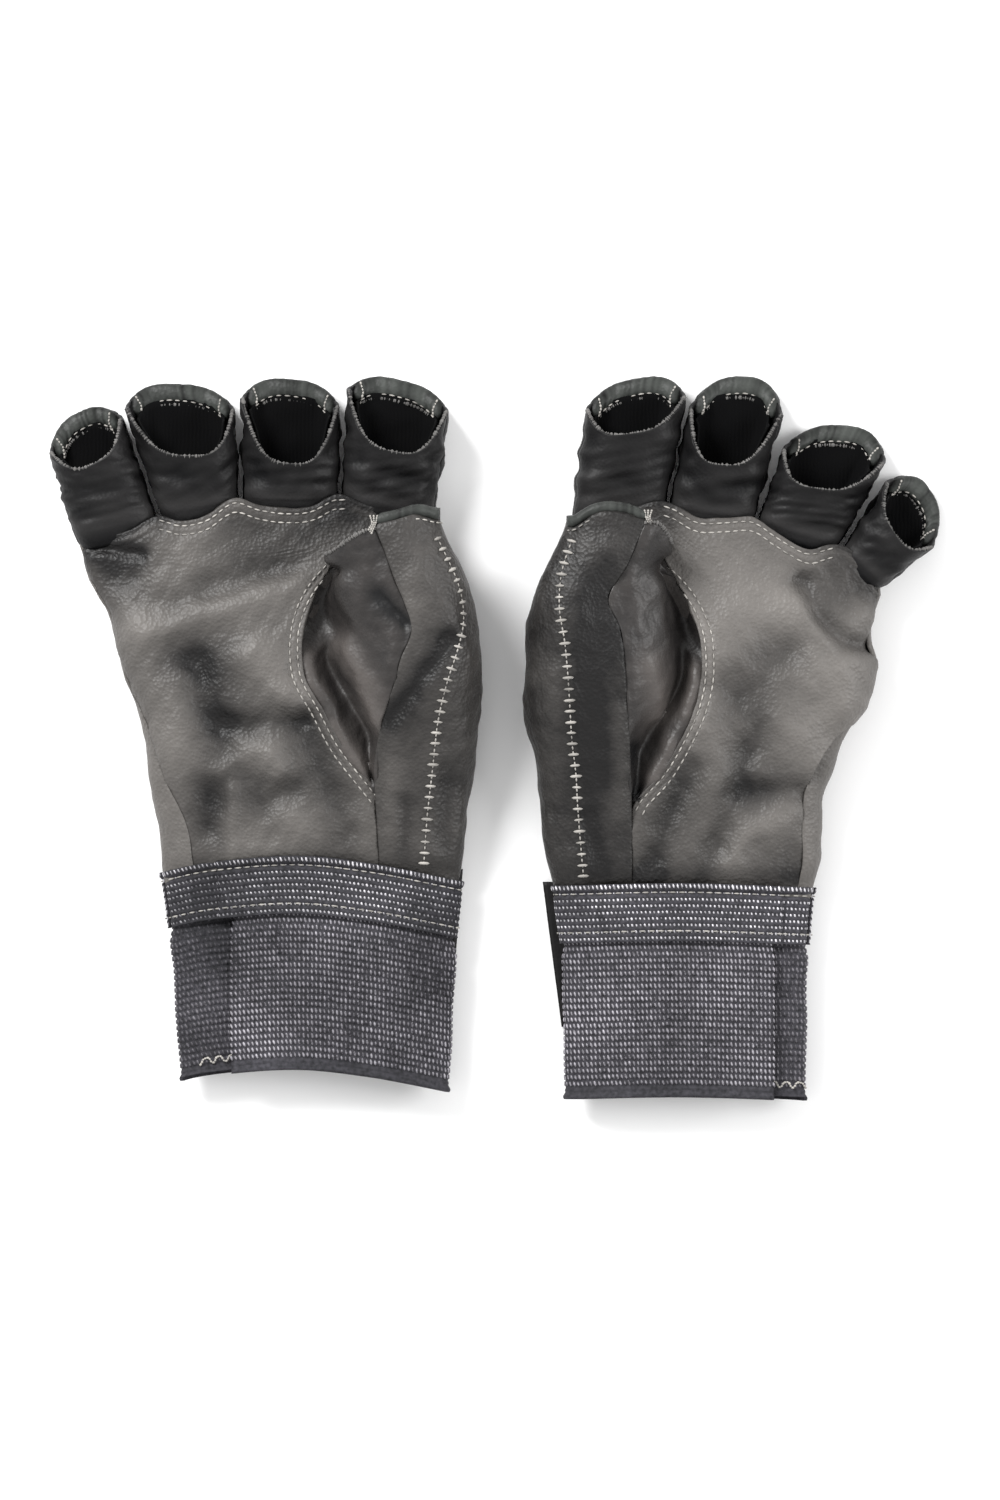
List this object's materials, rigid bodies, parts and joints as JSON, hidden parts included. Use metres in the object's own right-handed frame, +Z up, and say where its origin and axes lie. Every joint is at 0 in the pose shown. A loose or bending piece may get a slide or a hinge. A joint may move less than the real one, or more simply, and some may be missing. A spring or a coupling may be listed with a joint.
{
  "type": "fingerless gloves",
  "caption": "Pair of fingerless leather gloves with open finger stalls, set-in thumbs, topstitched seams and elastic webbing wrist bands, lying palms up.",
  "frame": {"origin": "on the table under the middle of the pair's overall box", "axes": "+Y from the wrists to the fingers, +Z up from the table, palms facing +Z; the right-hand glove is on the -X side"},
  "size_m": [0.2591, 0.2153, 0.0362],
  "materials": {
    "palm_leather": "distressed grey-brown goat leather, fine grain, semi-matt",
    "stall_leather": "smooth black leather, semi-matt with soft wrinkles",
    "hem_leather": "turned leather hem, worn grey",
    "knit_lining": "black brushed knit",
    "elastic_webbing": "ribbed elastic webbing, charcoal with light yarn picks",
    "thread": "off-white sewing thread"
  },
  "bodies": {
    "right_hand": {"right_palm_panel": "palm_leather", "right_back_panel": "palm_leather", "right_radial_panel": "palm_leather", "right_hand_lining": "knit_lining", "right_collar_band": "elastic_webbing", "right_cuff_band": "elastic_webbing", "right_cuff_underlap": "elastic_webbing", "right_back_strap": "stall_leather", "right_seam_threads": "thread"},
    "right_thumb": {"right_thumb_outer": "palm_leather", "right_thumb_inner": "stall_leather", "right_thumb_hem": "hem_leather", "right_thumb_lining": "knit_lining"},
    "right_index": {"right_index_palm": "stall_leather", "right_index_back": "stall_leather", "right_index_fourchette": "stall_leather", "right_index_lining": "knit_lining"},
    "right_middle": {"right_middle_palm": "stall_leather", "right_middle_back": "stall_leather", "right_middle_fourchette": "stall_leather", "right_middle_lining": "knit_lining"},
    "right_ring": {"right_ring_palm": "stall_leather", "right_ring_back": "stall_leather", "right_ring_fourchette": "stall_leather", "right_ring_lining": "knit_lining"},
    "right_little": {"right_little_palm": "stall_leather", "right_little_back": "stall_leather", "right_little_fourchette": "stall_leather", "right_little_lining": "knit_lining"},
    "left_hand": {"left_palm_panel": "palm_leather", "left_back_panel": "palm_leather", "left_radial_panel": "palm_leather", "left_hand_lining": "knit_lining", "left_collar_band": "elastic_webbing", "left_cuff_band": "elastic_webbing", "left_cuff_underlap": "elastic_webbing", "left_back_strap": "stall_leather", "left_seam_threads": "thread"},
    "left_thumb": {"left_thumb_outer": "palm_leather", "left_thumb_inner": "stall_leather", "left_thumb_hem": "hem_leather", "left_thumb_lining": "knit_lining"},
    "left_index": {"left_index_palm": "stall_leather", "left_index_back": "stall_leather", "left_index_fourchette": "stall_leather", "left_index_lining": "knit_lining"},
    "left_middle": {"left_middle_palm": "stall_leather", "left_middle_back": "stall_leather", "left_middle_fourchette": "stall_leather", "left_middle_lining": "knit_lining"},
    "left_ring": {"left_ring_palm": "stall_leather", "left_ring_back": "stall_leather", "left_ring_fourchette": "stall_leather", "left_ring_lining": "knit_lining"},
    "left_little": {"left_little_palm": "stall_leather", "left_little_back": "stall_leather", "left_little_fourchette": "stall_leather", "left_little_lining": "knit_lining"}
  },
  "joints": [
    {"name": "right_index_flex", "type": "hinge", "parent": "right_hand", "child": "right_index", "pos_m": [-0.03095, 0.0675, 0.0166], "axis": [0.9958, -0.0911, 0], "range_deg": [0, 50]},
    {"name": "right_middle_flex", "type": "hinge", "parent": "right_hand", "child": "right_middle", "pos_m": [-0.05929, 0.0701, 0.0166], "axis": [0.9998, -0.0191, 0], "range_deg": [0, 60]},
    {"name": "right_ring_flex", "type": "hinge", "parent": "right_hand", "child": "right_ring", "pos_m": [-0.08538, 0.06759, 0.0166], "axis": [0.9879, 0.155, 0], "range_deg": [0, 60]},
    {"name": "right_little_flex", "type": "hinge", "parent": "right_hand", "child": "right_little", "pos_m": [-0.10866, 0.06167, 0.0166], "axis": [0.9483, 0.3173, 0], "range_deg": [0, 60]},
    {"name": "right_thumb_lift", "type": "hinge", "parent": "right_hand", "child": "right_thumb", "pos_m": [-0.02175, -0.006, 0.0252], "axis": [1, 0, 0], "range_deg": [0, 20]},
    {"name": "left_index_flex", "type": "hinge", "parent": "left_hand", "child": "left_index", "pos_m": [0.03543, 0.06649, 0.0166], "axis": [0.9875, -0.1573, 0], "range_deg": [0, 50]},
    {"name": "left_middle_flex", "type": "hinge", "parent": "left_hand", "child": "left_middle", "pos_m": [0.06237, 0.06603, 0.0166], "axis": [0.9695, -0.2449, 0], "range_deg": [0, 60]},
    {"name": "left_ring_flex", "type": "hinge", "parent": "left_hand", "child": "left_ring", "pos_m": [0.08721, 0.06015, 0.0166], "axis": [0.9078, -0.4193, 0], "range_deg": [0, 60]},
    {"name": "left_little_flex", "type": "hinge", "parent": "left_hand", "child": "left_little", "pos_m": [0.10604, 0.05057, 0.0166], "axis": [0.7317, -0.6816, 0], "range_deg": [0, 60]},
    {"name": "left_thumb_lift", "type": "hinge", "parent": "left_hand", "child": "left_thumb", "pos_m": [0.0265, -0.009, 0.0252], "axis": [1, 0, 0], "range_deg": [0, 20]},
    {"name": "left_glove_lift", "type": "slide", "parent": "right_hand", "child": "left_hand", "axis": [0, 0, 1], "range_m": [0, 0.1]}
  ]
}
